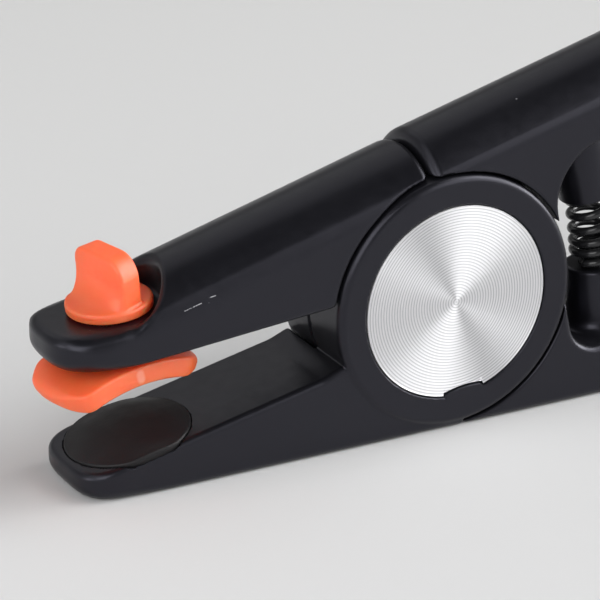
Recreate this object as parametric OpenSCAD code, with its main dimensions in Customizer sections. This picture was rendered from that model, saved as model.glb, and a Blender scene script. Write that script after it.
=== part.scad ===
// Glass running pliers. Millimetres, +X towards the handles, +Y across the thickness, +Z up.
// The tool stands on the flat underside of the lower jaw and lower handle, jaws open on their stop.
// Lever A carries the near boss, the lower jaw and the upper handle.
// Lever B carries the far boss, the upper jaw and the lower handle.
// The origin is the middle of the footprint, on the surface that the tool stands on.

/* [Pivot] */
// Diameter of the bright cover discs
disc_d = 40; // [36:1:44]
// Thickness of a cover disc
disc_t = 1.2; // [0.8:0.1:1.8]
// Width of the plain ring of boss round a cover disc
boss_ring = 6; // [5:0.5:7]
// Thickness of the tool across its two boss faces
boss_t = 25; // [24.6:0.1:27]
// Height of the pivot above the flat underside
pivot_h = 27; // [27:0.5:29]
// Gap between a boss and the parts that turn round it
rim_gap = 0.4; // [0.3:0.05:0.6]
// Diameter of the pivot bolt's shoulder
shoulder_d = 8; // [6:0.5:9]
// Diameter of the pivot bolt's thread
thread_d = 6; // [4:0.5:6]
// Diameter of the pivot bolt's head and of the washers
head_d = 14; // [13:0.5:15]
// Outer diameter of the pivot bush
bush_d = 11; // [10.5:0.5:12]
// Diameter of the thrust washer between the levers
thrust_d = 28; // [20:1:32]
// Thickness of the thrust washer
thrust_t = 1; // [0.6:0.1:1.6]
// Diameter of the screws that hold a handle's hub to its boss
hub_screw_d = 4; // [3:0.5:4.5]
// Radius of the circle of hub screws
hub_screw_r = 13; // [12.5:0.25:13.5]
// Number of hub screws on each side
hub_screws = 3; // [2:1:4]

/* [Jaws] */
// Thickness of the jaws and handles
body_w = 23.8; // [22:0.1:24.4]
// Distance from the pivot to the nose of the upper jaw
jaw_reach = 84.5; // [78:0.5:95]
// How much shorter the lower jaw is
lower_short = 3; // [0:0.5:6]
// Height of the glass opening at the boss
throat_h = 13.9; // [10:0.1:16]
// Height above the pivot of the upper jaw's lower edge, where it meets the boss
throat_top = 3.6; // [2:0.1:5]
// Slope of the upper jaw's lower edge
upper_jaw_a = 5; // [3:0.25:7]
// Thickness of the lower jaw at its nose
lower_tip_t = 4.6; // [4.2:0.1:6.4]
// Height above the pivot of the upper jaw's side crease, where it meets the boss
crease_h = 19.4; // [17:0.2:21]
// Slope of that crease
crease_a = 16; // [15:0.25:18]
// Rise of the upper jaw's crowned back above its crease
jaw_crown = 5.4; // [4:0.2:7]
// Thickness of the upper jaw under the knob
tip_t = 7.6; // [6:0.2:9]
// Radius of the rounded underside of both noses
nose_r = 5; // [2:0.5:5]
// Length of the rounded nose in plan
nose_l = 12.5; // [9:0.5:16]
// Width of the closed stop seam behind the upper jaw
seam_gap = 0.5; // [0.3:0.1:1]
// Distance of the stop seam in front of the pivot
seam_x = 5; // [3:0.5:8]

/* [Swivel head] */
// Distance from the pivot to the knob's axis
knob_reach = 68.6; // [64:0.2:72]
// Diameter of the knob's flange
flange_d = 16.8; // [15:0.2:18]
// Thickness of the knob's flange
flange_t = 1.8; // [1.4:0.1:3]
// Gap between the flange and the jaw
flange_gap = 0.3; // [0.2:0.05:0.5]
// Length of the thumb wing across the knob
wing_l = 14; // [11:0.5:14.5]
// Thickness of the thumb wing
wing_t = 4.4; // [3:0.1:6]
// Height of the thumb wing above the flange
wing_h = 9.6; // [7:0.2:12]
// Radius of the hollow at the foot of the wing
wing_foot_r = 5; // [2:0.25:5.5]
// Radius of the round pocket that the jaw's back leaves for the fingers
pocket_r = 11; // [10:0.25:13]
// Diameter of the knob's shaft
shaft_d = 7.6; // [6.5:0.1:8.4]
// Outer diameter of the sleeve that the shaft turns in
sleeve_d = 10; // [9.6:0.2:10.6]
// Across the flats of the shaft's square end
square_w = 5; // [4:0.1:5.2]
// Length of the anvil
anvil_l = 31.2; // [26:0.2:32]
// Radius of the anvil's curved ends
anvil_end_r = 20.5; // [16:0.5:26]
// Width of the anvil across its flat sides
anvil_w = 19; // [14:0.5:20]
// Thickness of the anvil
anvil_t = 4; // [3:0.1:4.2]
// Rise of the arch under the anvil
anvil_arch = 3.4; // [1:0.1:4]
// Gap between the jaw and the middle of the anvil
anvil_gap = 1.3; // [0.8:0.1:1.8]
// Angle at which the loose anvil hangs on its screw
anvil_lean = 4; // [0:0.5:4.5]
// Angle of the anvil to the jaws as the head is set
head_turn = 12; // [0:1:90]
// Diameter of the screw that holds the anvil
anvil_screw_d = 3; // [2:0.5:3]

/* [Pad] */
// Distance from the pivot to the pad's middle
pad_reach = 65.4; // [62:0.2:68]
// Diameter of the rubber pad
pad_d = 25; // [20:0.5:26]
// Height of the pad's dome above its rim
pad_dome = 2.4; // [1.5:0.1:4]
// Depth of the seat that the pad lies in
pad_seat = 0.8; // [0.4:0.1:1.5]
// Diameter of the pad's plug
plug_d = 8; // [5:0.5:12]
// Length of the pad's plug
plug_l = 3.2; // [2:0.1:3.6]

/* [Handles] */
// Distance from the pivot to the end of the lower handle
handle_reach = 150; // [130:1:175]
// Slope of the upper handle
upper_handle_a = 14.85; // [12:0.25:17]
// Height above the pivot of the upper handle's side crease, at the pivot
upper_handle_h = 26.8; // [26.6:0.1:28]
// Rise of the upper handle's crowned back above its crease
handle_crown = 6.25; // [5:0.25:8]
// Thickness of the upper handle's neck below its crease
upper_neck = 7.6; // [6:0.2:10]
// Thickness of the lower handle's neck
lower_neck = 10.5; // [9:0.25:13]
// How much the handles swell towards the middle of the grip
swell = 5.6; // [2:0.2:8]
// Distance from the pivot to where the handles start to bend inwards
bend_x = 62; // [50:1:80]
// Radius of that bend
bend_r = 500; // [400:10:900]
// Distance from the pivot to the edge of the open space for the spring
inner_x = 23.2; // [23:0.1:24]
// Rounding of the corners of that space
inner_r = 9; // [6:0.5:10]

/* [Return spring] */
// Diameter of the spring's wire
wire_d = 1.7; // [1.2:0.1:1.9]
// Outer diameter of the spring
spring_d = 9.8; // [8.5:0.1:10]
// Open curls between the two closed ends
open_curls = 3; // [2:0.5:4]
// Closed curls at the lower end
low_curls = 2; // [1.5:0.5:3]
// Closed curls inside the upper cup
cup_curls = 1; // [1:0.5:2]
// Gap between two closed curls
closed_gap = 0.52; // [0.5:0.01:0.6]
// Outer diameter of the two spring posts
post_d = 12; // [11.6:0.1:13]
// Height of the lower post's top below the pivot
low_post_drop = 3.2; // [2:0.1:6]
// Lean of the lower post
low_post_lean = 3; // [1:0.25:8]
// Distance from the pivot to the mouth of the upper cup
cup_x = 37.2; // [36.4:0.1:39]
// Height of the upper cup's mouth above the pivot
cup_h = 12.3; // [10:0.1:16]
// Depth of the upper cup's bore
cup_deep = 5; // [4:0.1:7]
// Diameter of the pin that guides the spring's lower end
guide_d = 5.6; // [4:0.1:6]

/* [Hidden] */
$fn = 96;
body_col = [0.14, 0.14, 0.15];
orange = [1.0, 0.42, 0.25];
alu = [0.86, 0.86, 0.87];
steel = [0.62, 0.63, 0.65];
rubber = [0.08, 0.08, 0.08];
over = 1;
far = 300;
fit_gap = 0.02;
run_gap = 0.05;
seat_gap = 0.2;
mid_gap = 0.3;

boss_r = disc_d / 2 + boss_ring;
arc_r = boss_r + rim_gap;
half_w = body_w / 2;
face_y = boss_t / 2;
pivot_x = (jaw_reach - handle_reach) / 2;
disc_recess = disc_t + seat_gap;
floor_y = face_y - disc_recess;
notch_w = 8.5;
notch_turn = 5.9;
notch_z = disc_d / 2 - 1.2;
plate_t = 4.8;
hub_y = mid_gap / 2 + plate_t;
hub_r = disc_d / 2 - 1.5;
washer_t = 0.8;
bolt_head_h = 2.9;
bolt_seat_y = floor_y - bolt_head_h - washer_t - 0.1;
screw_head_d = hub_screw_d * 1.75;
screw_head_h = 2.5;
screw_seat_y = floor_y - screw_head_h - 0.2;
foot_split_x = 2.8;
neck_upper = [45, 90];
neck_lower = [-66, -32];

lower_reach = jaw_reach - lower_short;
lower_jaw_a = atan((throat_top - throat_h + pivot_h - lower_tip_t) / (lower_reach - boss_r));

function crown_r(sag) = (half_w * half_w + sag * sag) / (2 * sag);
function nose_pt(tip, len, a) = [
  tip + len * (1 - pow(abs(sin(a)), 2 / 2.4)),
  sign(cos(a)) * half_w * pow(abs(cos(a)), 2 / 2.4)];
function lower_top(x) = throat_top - throat_h + (x + boss_r) * tan(lower_jaw_a);
function upper_low(x) = throat_top + (x + boss_r) * tan(upper_jaw_a);
function crease(x) = crease_h + (x + boss_r) * tan(crease_a);
tip_z = upper_low(-knob_reach) + tip_t;
function tip_flat(x) = tip_z + (x + knob_reach) * tan(upper_jaw_a);

// Moves and turns the whole tool from the pivot's own frame to the part's frame
module place() { translate([pivot_x, 0, pivot_h]) children(); }

// A flat outline drawn in X and Z, made solid from y0 to y1
module slab(y0, y1) {
  translate([0, y1, 0]) rotate([90, 0, 0]) linear_extrude(height = y1 - y0) children();
}

// A round bar along Y from y0 to y1
module bar(d, y0, y1) {
  translate([0, y1, 0]) rotate([90, 0, 0]) cylinder(d = d, h = y1 - y0);
}

// The plan outline of a jaw: straight sides and a rounded nose at x = -reach
module jaw_plan(reach) {
  steps = 16;
  linear_extrude(height = far, center = true)
      polygon(concat(
        [[30, half_w], [-reach + nose_l, half_w]],
        [for (i = [1 : 2 * steps - 1]) nose_pt(-reach, nose_l, 180 * i / (2 * steps))],
        [[-reach + nose_l, -half_w], [30, -half_w]]));
}

// The side outline of a jaw with an underside that rounds up to its nose
module jaw_side(reach, low, high, x1) {
  steps = 12;
  x0 = -reach;
  xc = x0 + nose_r;
  polygon(concat(
    [[x1, low(x1)]],
    [for (i = [0 : steps]) [
      xc - nose_r * sin(90 * i / steps),
      low(xc) + nose_r * (1 - cos(90 * i / steps)) * 0.8]],
    [[x0, high(x0)], [x1, high(x1)]]));
}

// The wedge of material that joins a handle to its hub, inside the boss
module neck(a, grow) {
  r = arc_r + over;
  g = grow / r * 180 / PI;
  intersection() {
    circle(r = r);
    polygon([[0, 0],
      [2 * r * cos(a[0] - g), 2 * r * sin(a[0] - g)],
      [2 * r * cos(a[1] + g), 2 * r * sin(a[1] + g)]]);
  }
}

// The hub and neck of a handle as a flat outline, grown all round by grow
module hub_outline(a, grow) {
  circle(r = hub_r + grow);
  neck(a, grow);
}

// Everything that is cut from a boss casting: side is -1 for the near boss and 1 for the far one
module boss_cuts(side, a) {
  mirror([0, side > 0 ? 1 : 0, 0]) {
    difference() {
      bar(disc_d, -face_y - over, -floor_y);
      rotate([0, -notch_turn, 0]) translate([-notch_w / 2, -face_y - 2 * over, -notch_z - 8])
        cube([notch_w, 8, 8]);
    }
    slab(-hub_y - run_gap, over) hub_outline(a, seat_gap);
    bar(shoulder_d + 2 * run_gap, -face_y - over, over);
    bar(head_d + 2 * seat_gap, -floor_y - over, -bolt_seat_y);
    hub_screw_holes(hub_screw_d + 2 * run_gap, screw_head_d + 2 * seat_gap);
  }
}

// The holes for the hub screws on the near side
module hub_screw_holes(hole_d, head_hole_d) {
  for (i = [0 : hub_screws - 1])
    rotate([0, i * 360 / hub_screws + 30, 0])
      translate([hub_screw_r, 0, 0]) {
        bar(hole_d, -floor_y - over, over);
        bar(head_hole_d, -floor_y - over, -screw_seat_y);
      }
}

module boss_disc(side) {
  mirror([0, side > 0 ? 1 : 0, 0]) bar(2 * boss_r, -face_y, -mid_gap / 2);
}

// Clears the other lever's boss out of a full-width piece, on the half that side names
module other_boss(side) {
  mirror([0, side > 0 ? 1 : 0, 0]) bar(2 * arc_r, -half_w - over, mid_gap / 2);
}

// Clears both bosses out of a handle, over its full width
module boss_room() { bar(2 * arc_r, -half_w - over, half_w + over); }

module lower_jaw() {
  color(body_col) place() difference() {
    union() {
      boss_disc(-1);
      difference() {
        intersection() {
          slab(-half_w, half_w) lower_jaw_outline();
          jaw_plan(lower_reach);
        }
        other_boss(1);
      }
    }
    boss_cuts(-1, neck_upper);
    pad_hole();
  }
}

module lower_jaw_outline() {
  jaw_side(lower_reach, function(x) -pivot_h, function(x) lower_top(x), foot_split_x - 0.2);
}

// Places what sits on the sloping face of the lower jaw, with its z square to that face
module on_pad() {
  translate([-pad_reach, 0, lower_top(-pad_reach)]) rotate([0, -lower_jaw_a, 0]) children();
}

module pad_hole() {
  on_pad() {
    translate([0, 0, -pad_seat]) cylinder(d = pad_d + 2 * fit_gap, h = pad_seat + 3);
    translate([0, 0, -pad_seat - plug_l - seat_gap])
      cylinder(d = plug_d + 2 * fit_gap, h = plug_l + 1);
  }
}

// The rubber pad: a shallow dome with its sides cut flush with the jaw, on a round plug
module jaw_pad() {
  ball_r = (pad_d * pad_d / 4 + pad_dome * pad_dome) / (2 * pad_dome);
  rim = 0.3;
  color(rubber) place() on_pad() {
    intersection() {
      translate([0, 0, -pad_seat]) cylinder(d = pad_d, h = pad_seat + rim + pad_dome);
      translate([0, 0, rim + pad_dome - ball_r]) sphere(r = ball_r);
      translate([-pad_d, -half_w + 0.05, -5]) cube([2 * pad_d, body_w - 0.1, 20]);
    }
    translate([0, 0, -pad_seat - plug_l]) cylinder(d = plug_d, h = plug_l + 0.1);
  }
}

// The rounded back of a piece: a round bar along X, with all that lies well below it
module back_bar(sag) {
  r = crown_r(sag);
  below = 2.5;
  translate([-far, 0, sag - r]) rotate([0, 90, 0]) cylinder(r = r, h = 2 * far);
  translate([-far, -half_w - over, -far - below]) cube([2 * far, body_w + 2 * over, far]);
}

module upper_jaw() {
  color(body_col) place() difference() {
    union() {
      boss_disc(1);
      difference() {
        intersection() {
          slab(-half_w, half_w) upper_jaw_outline();
          jaw_plan(jaw_reach);
          translate([-boss_r, 0, crease_h]) rotate([0, -crease_a, 0]) back_bar(jaw_crown);
        }
        other_boss(-1);
        finger_pocket();
      }
    }
    boss_cuts(1, neck_lower);
    on_tip() {
      cylinder(d = sleeve_d + 2 * fit_gap, h = 4 * tip_t, center = true);
      translate([0, 0, -ring_drop]) cylinder(d = ring_d + 2 * fit_gap, h = ring_drop + over);
    }
  }
}

module upper_jaw_outline() {
  jaw_side(jaw_reach, function(x) upper_low(x), function(x) crease(x) + jaw_crown / cos(crease_a),
    -seam_x - seam_gap / 2);
}

// Places what sits on the upper jaw's tip, with its z along the knob's axis
module on_tip() {
  translate([-knob_reach, 0, tip_z]) rotate([0, -upper_jaw_a, 0]) children();
}

// The flat round the knob, and the round wall behind it
module finger_pocket() {
  on_tip() {
    cylinder(r = pocket_r, h = far);
    translate([-far, -half_w - over, 0]) cube([far, body_w + 2 * over, far]);
  }
}

// The swivel head turns about the knob's axis
module on_head() { on_tip() rotate([0, 0, head_turn]) children(); }

ring_d = flange_d - 2.4;
ring_t = 0.8;
ring_drop = ring_t - flange_gap + 0.1;
shaft_end = tip_t / cos(upper_jaw_a) + anvil_gap;
square_l = 1.1;
screw_l = 7;
anvil_top = -shaft_end;
arch_r = (anvil_l * anvil_l / 4 + anvil_arch * anvil_arch) / (2 * anvil_arch);

module knob() {
  top = flange_gap + flange_t;
  color(orange) place() on_head() difference() {
    union() {
      translate([0, 0, flange_gap]) cylinder(d = flange_d, h = flange_t);
      wing(top);
      translate([0, 0, -shaft_end]) cylinder(d = shaft_d, h = shaft_end + top);
      translate([-square_w / 2, -square_w / 2, -shaft_end - square_l])
        cube([square_w, square_w, square_l + 1]);
    }
    translate([0, 0, -shaft_end - square_l - over])
      cylinder(d = anvil_screw_d + 2 * fit_gap, h = screw_l + over + 0.3);
  }
}

// The thumb wing: a plate across the knob with rounded shoulders and a hollow foot on each face
module wing(z0) {
  shoulder = 2.6;
  intersection() {
    difference() {
      translate([-flange_d / 2, -wing_l / 2, z0 - 0.1])
        cube([flange_d, wing_l, wing_h + 0.1]);
      for (s = [-1, 1])
        translate([s * (wing_t / 2 + wing_foot_r), 0, z0]) {
          translate([0, wing_l, wing_foot_r]) rotate([90, 0, 0]) cylinder(r = wing_foot_r, h = 2 * wing_l);
          translate([-wing_foot_r, -wing_l, wing_foot_r]) cube([2 * wing_foot_r, 2 * wing_l, 2 * wing_h]);
          translate([s > 0 ? 0 : -flange_d, -wing_l, 0]) cube([flange_d, 2 * wing_l, 2 * wing_h]);
        }
    }
    cylinder(d = flange_d - 0.6, h = far);
    translate([-flange_d, 0, z0]) rotate([90, 0, 90]) linear_extrude(height = 2 * flange_d) union() {
      translate([-wing_l / 2, -over]) square([wing_l, wing_h - shoulder + over]);
      translate([-wing_l / 2 + shoulder, 0]) square([wing_l - 2 * shoulder, wing_h]);
      for (s = [-1, 1]) translate([s * (wing_l / 2 - shoulder), wing_h - shoulder]) circle(r = shoulder);
    }
  }
}

// The anvil: a plate with curved ends and two flat sides, arched along its length
module anvil() {
  color(orange) place() on_head() translate([0, 0, anvil_top]) difference() {
    intersection() {
      translate([anvil_end_r - anvil_l / 2, 0, 0]) cylinder(r = anvil_end_r, h = anvil_l, center = true);
      translate([anvil_l / 2 - anvil_end_r, 0, 0]) cylinder(r = anvil_end_r, h = anvil_l, center = true);
      translate([-anvil_l, -anvil_w / 2, -anvil_l]) cube([2 * anvil_l, anvil_w, 2 * anvil_l]);
      rotate([0, anvil_lean, 0]) translate([0, anvil_w, -arch_r - anvil_t]) rotate([90, 0, 0])
        difference() {
          cylinder(r = arch_r + anvil_t, h = 2 * anvil_w);
          translate([0, 0, -over]) cylinder(r = arch_r, h = 2 * anvil_w + 2 * over);
        }
    }
    cylinder(d = shaft_d + 2 * run_gap, h = 2);
    translate([-square_w / 2 - run_gap, -square_w / 2 - run_gap, -square_l - run_gap])
      cube([square_w + 2 * run_gap, square_w + 2 * run_gap, 5]);
    translate([0, 0, -anvil_t - over]) cylinder(d = anvil_screw_d + 2 * run_gap, h = 10);
    translate([0, 0, -anvil_t - over]) cylinder(d = 2 * anvil_screw_d, h = over + 0.9);
  }
}

module anvil_screw() {
  head_h = 0.8;
  color(steel) place() on_head() translate([0, 0, anvil_top - anvil_t + 0.9]) {
    translate([0, 0, -head_h]) difference() {
      cylinder(d = 2 * anvil_screw_d - 0.3, h = head_h);
      translate([0, 0, -over]) cylinder(d = anvil_screw_d * 0.6, h = over + 0.5, $fn = 6);
    }
    cylinder(d = anvil_screw_d, h = screw_l);
  }
}

module swivel_sleeve() {
  len = tip_t - 0.4;
  color(steel) place() on_tip() translate([0, 0, -len - 0.1]) difference() {
    cylinder(d = sleeve_d, h = len);
    translate([0, 0, -over]) cylinder(d = shaft_d + 2 * run_gap, h = len + 2 * over);
  }
}

module friction_ring() {
  color(rubber) place() on_tip() translate([0, 0, -ring_drop + fit_gap]) difference() {
    cylinder(d = ring_d, h = ring_t);
    translate([0, 0, -over]) cylinder(d = sleeve_d + 0.4, h = ring_t + 2 * over);
  }
}

// The cover discs: flat turned discs with a notch for the boss's tab
module cover_disc(side) {
  mirror([0, side > 0 ? 1 : 0, 0]) difference() {
    bar(disc_d - 2 * seat_gap, -floor_y - disc_t, -floor_y);
    rotate([0, -notch_turn, 0]) translate([-notch_w / 2 - seat_gap, -face_y - over, -notch_z - 8])
      cube([notch_w + 2 * seat_gap, 8, 8 + seat_gap]);
  }
}

module near_disc() { color(alu) place() cover_disc(-1); }
module far_disc() { color(alu) place() cover_disc(1); }

module hub_screw_set(side) {
  tip_y = -mid_gap / 2 - 0.8;
  mirror([0, side > 0 ? 1 : 0, 0])
    for (i = [0 : hub_screws - 1])
      rotate([0, i * 360 / hub_screws + 30, 0])
        translate([hub_screw_r, 0, 0]) difference() {
          union() {
            bar(screw_head_d, -screw_seat_y - screw_head_h, -screw_seat_y);
            bar(hub_screw_d, -screw_seat_y - 0.1, tip_y);
          }
          translate([0, -screw_seat_y - screw_head_h + 1.5, 0]) rotate([90, 0, 0])
            cylinder(d = hub_screw_d * 0.7, h = 3, $fn = 6);
        }
}

module near_hub_screws() { color(steel) place() hub_screw_set(-1); }
module far_hub_screws() { color(steel) place() hub_screw_set(1); }

module pivot_bolt() {
  color(steel) place() difference() {
    union() {
      bar(head_d, -bolt_seat_y - washer_t - bolt_head_h, -bolt_seat_y - washer_t);
      bar(shoulder_d, -bolt_seat_y - washer_t - 0.1, bolt_seat_y - 0.2);
      bar(thread_d, 0, floor_y - 0.2);
    }
    translate([0, -bolt_seat_y - washer_t - bolt_head_h + 2, 0]) rotate([90, 0, 0])
      cylinder(d = 6, h = 4, $fn = 6);
  }
}

module flat_washer(hole_d, y0) {
  difference() {
    bar(head_d, y0, y0 + washer_t);
    bar(hole_d, y0 - over, y0 + washer_t + over);
  }
}

module head_washer() {
  color(steel) place() flat_washer(shoulder_d + 2 * run_gap, -bolt_seat_y - washer_t);
}
module nut_washer() {
  color(steel) place() flat_washer(thread_d + 2 * run_gap, bolt_seat_y + run_gap);
}

module pivot_nut() {
  nut_h = floor_y - bolt_seat_y - washer_t - 0.3;
  y0 = bolt_seat_y + washer_t + run_gap;
  color(steel) place() difference() {
    intersection() {
      translate([0, y0 + nut_h, 0]) rotate([90, 0, 0]) cylinder(d = thread_d * 1.9, h = nut_h, $fn = 6);
      bar(thread_d * 1.9 - 0.4, y0 - over, y0 + nut_h + over);
    }
    bar(thread_d + 2 * fit_gap, y0 - over, y0 + nut_h + over);
  }
}

module pivot_bush() {
  len = 2 * hub_y - 0.2;
  color(steel) place() difference() {
    bar(bush_d, -len / 2, len / 2);
    bar(shoulder_d + 2 * run_gap, -len / 2 - over, len / 2 + over);
  }
}

module thrust_washer() {
  color([0.85, 0.85, 0.8]) place() difference() {
    bar(thrust_d, -thrust_t / 2, thrust_t / 2);
    bar(bush_d + 4 * run_gap, -thrust_t, thrust_t);
  }
}

// The hub plate of a handle, drilled for the bush, the thrust washer and the screws
module hub_plate(side, a, bore_gap) {
  mirror([0, side > 0 ? 1 : 0, 0]) difference() {
    slab(-hub_y, -mid_gap / 2 - run_gap) hub_outline(a, 0);
    bar(bush_d + 2 * bore_gap, -hub_y - over, over);
    bar(thrust_d + 2 * seat_gap, -thrust_t / 2 - run_gap, over);
    hub_screw_holes(hub_screw_d + 2 * fit_gap, 0.1);
  }
}

function upper_pt(u, v) = [
  u * cos(upper_handle_a) - v * sin(upper_handle_a),
  upper_handle_h + u * sin(upper_handle_a) + v * cos(upper_handle_a)];
function bend_drop(u) = u <= bend_x ? 0 : bend_r - sqrt(bend_r * bend_r - (u - bend_x) * (u - bend_x));
upper_len = (handle_reach - 4) / cos(upper_handle_a);
bend_step = 42;
neck_u = inner_x + inner_r;
function grip(u, u1) = u <= neck_u ? 0 : swell * pow(sin(180 * (u - neck_u) / (u1 + 12 - neck_u)), 2);

// Rounds the end of a handle's side outline
module end_round(u0, u1, low, high) {
  steps = 10;
  polygon([for (i = [-steps : steps])
    let (a = 90 * i / steps, m = (low + high) / 2, h = (high - low) / 2)
      [u0 + (u1 - u0) * pow(cos(a), 2 / 2.6), m + h * sign(a) * pow(abs(sin(a)), 2 / 2.6)]]);
}

// The upper handle's side outline; top is its height above the crease
module upper_handle_outline(top, u1) {
  n = 24;
  u0 = 9;
  end_u = u1 - 9;
  us = [for (i = [0 : n]) -12 + (end_u + 12) * i / n];
  rise = -bend_drop(end_u);
  intersection() {
    union() {
      polygon(concat(
        [for (u = us) upper_pt(u, top - bend_drop(u))],
        [for (i = [0 : n]) let (u = end_u + (neck_u - end_u) * i / n)
          upper_pt(u, -upper_neck - grip(u, u1) - bend_drop(u))],
        [for (i = [0 : 8]) let (a = 90 + 90 * i / 8)
          [inner_x + inner_r * (1 + cos(a)), upper_handle_h - 8.2 + 8 * sin(a)]],
        [[inner_x, 14], [arc_r * cos(17), arc_r * sin(17)], [0, 10], [-12, 10]]));
      translate([0, upper_handle_h]) rotate(upper_handle_a)
        end_round(end_u, u1, rise - upper_neck - grip(end_u, u1), rise + top);
    }
    translate([-seam_x + seam_gap / 2, -far / 2]) square(far);
  }
}

// The plan outline of a handle, in its own straight frame
module handle_plan(u1) {
  steps = 12;
  taper = 1.4;
  linear_extrude(height = far, center = true) polygon(concat(
    [[-40, -half_w], [90, -half_w]],
    [for (i = [-steps : steps])
      let (a = 90 * i / steps)
        [u1 - 14 + 14 * pow(cos(a), 2 / 2.6), sign(a) * (half_w - taper) * pow(abs(sin(a)), 2 / 2.6)]],
    [[90, half_w], [-40, half_w]]));
}

// The crowned back of the upper handle, straight along the tangent of the bend at u
module grip_back(u) {
  translate([0, 0, upper_handle_h]) rotate([0, -upper_handle_a, 0])
    translate([bend_x + u, 0, -bend_drop(bend_x + u)]) rotate([0, asin(u / bend_r), 0])
      back_bar(handle_crown);
}

module upper_handle() {
  color(body_col) place() difference() {
    union() {
      difference() {
        intersection() {
          slab(-half_w, half_w) upper_handle_outline(handle_crown + over, upper_len);
          translate([0, 0, upper_handle_h]) rotate([0, -upper_handle_a, 0]) handle_plan(upper_len);
          grip_back(0);
          grip_back(bend_step);
          grip_back(2 * bend_step);
        }
        boss_room();
      }
      hub_plate(-1, neck_upper, fit_gap);
    }
    cup_socket();
  }
}

module on_cup() {
  translate([cup_x, 0, cup_h]) rotate([0, -upper_handle_a, 0]) children();
}
cup_l = (upper_handle_h + cup_x * tan(upper_handle_a) - upper_neck / cos(upper_handle_a) - cup_h)
  * cos(upper_handle_a);
cup_in = 2.5;
module cup_socket() {
  on_cup() cylinder(d = post_d + 2 * fit_gap, h = cup_l + cup_in);
}

// The cup that holds the spring's upper end, pressed into the upper handle
module spring_cup() {
  color(body_col) place() on_cup() difference() {
    cylinder(d = post_d, h = cup_l + cup_in - 0.1);
    translate([0, 0, -over]) cylinder(d = spring_d + 0.6, h = cup_deep + over);
  }
}

module lower_handle_outline() {
  n = 24;
  u1 = handle_reach;
  end_u = u1 - 9;
  top_z = lower_neck - pivot_h;
  union() {
    polygon(concat(
      [for (i = [0 : n]) let (u = foot_split_x + 0.2 + (end_u - foot_split_x) * i / n) [u, bend_drop(u) - pivot_h]],
      [for (i = [0 : n]) let (u = end_u + (neck_u + 1 - end_u) * i / n)
        [u, top_z + grip(u, u1) + bend_drop(u)]],
      [[inner_x + 7, top_z + 1], [inner_x + 4.8, top_z + 3.4], [inner_x + 3.6, -10],
        [arc_r * cos(8), -arc_r * sin(8)], [10, -10], [foot_split_x + 0.2, -20]]));
    end_round(end_u, u1, bend_drop(end_u) - pivot_h, top_z + grip(end_u, u1) + bend_drop(end_u));
  }
}

low_post_x = cup_x - cup_deep * sin(upper_handle_a)
  + (low_post_drop + cup_h + cup_deep * cos(upper_handle_a)) * tan((low_post_lean + upper_handle_a) / 2);
module on_low_post() {
  translate([low_post_x, 0, -low_post_drop]) rotate([0, -low_post_lean, 0]) children();
}
low_post_l = (pivot_h - lower_neck - low_post_drop) / cos(low_post_lean) + 1.5;

module lower_handle() {
  color(body_col) place() difference() {
    union() {
      difference() {
        intersection() {
          slab(-half_w, half_w) lower_handle_outline();
          handle_plan(handle_reach);
        }
        boss_room();
      }
      hub_plate(1, neck_lower, run_gap);
      on_low_post() translate([0, 0, -low_post_l]) cylinder(d = post_d, h = low_post_l);
    }
    on_low_post() translate([0, 0, -6]) cylinder(d = guide_d + 2 * fit_gap, h = 7);
  }
}

module spring_guide() {
  up = low_curls * (wire_d + closed_gap);
  color(steel) place() on_low_post() translate([0, 0, -6 + 0.05]) cylinder(d = guide_d, h = 6 + up);
}

// The spring's axis: a curve from the lower post's top to the floor of the cup
function lean(a) = [-sin(a), 0, cos(a)];
spring_r = (spring_d - wire_d) / 2;
sp0 = [low_post_x, 0, -low_post_drop];
sp2 = [cup_x, 0, cup_h] + cup_deep * lean(upper_handle_a);
spd = sp2 - sp0;
sp1 = sp2 - norm(spd) / 2 / cos((upper_handle_a - low_post_lean) / 2) * lean(upper_handle_a);
function sp_at(t) = (1 - t) * (1 - t) * sp0 + 2 * t * (1 - t) * sp1 + t * t * sp2;
function sp_dir(t) = let (d = 2 * (1 - t) * (sp1 - sp0) + 2 * t * (sp2 - sp1)) d / norm(d);
sp_len = norm(sp2 - sp0);

closed_pitch = wire_d + closed_gap;
end_lift = 0.3 + wire_d;
low_len = low_curls * closed_pitch;
cup_len = cup_curls * closed_pitch;
open_len = sp_len - 2 * end_lift - low_len - cup_len;
all_curls = low_curls + open_curls + cup_curls;
rings = 12;
sides = 6;
// Height along the axis after c curls: closed, open, then closed again
function climb(c) =
  c < low_curls ? c * closed_pitch :
  c < low_curls + open_curls ? low_len + (c - low_curls) * open_len / open_curls :
  low_len + open_len + (c - low_curls - open_curls) * closed_pitch;
function helix(c) =
  let (t = (end_lift + climb(c)) / sp_len, d = sp_dir(t), side = [d[2], 0, -d[0]], a = 360 * c)
  sp_at(t) + spring_r * (cos(a) * side + sin(a) * [0, 1, 0]);
wire = concat(
  [helix(0) - end_lift * sp_dir(0) + 0.3 * sp_dir(0)],
  [for (i = [0 : all_curls * rings]) helix(i / rings)],
  [helix(all_curls) + (end_lift - 0.3) * sp_dir(1)]);
function tangent(i) =
  let (d = wire[min(i + 1, len(wire) - 1)] - wire[max(i - 1, 0)]) d / norm(d);
function ring_at(i) =
  let (
    axis = i == 0 ? sp_dir(0) : i == len(wire) - 1 ? sp_dir(1) : tangent(i),
    out = let (t = min(1, max(0, (end_lift + climb(i / rings)) / sp_len)), c = wire[i] - sp_at(t)) c,
    o1 = let (o = out - (out * axis) * axis) o / norm(o),
    o2 = cross(axis, o1))
  [for (k = [0 : sides - 1])
    wire[i] + wire_d / 2 * (cos(360 * k / sides) * o1 + sin(360 * k / sides) * o2)];

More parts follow.
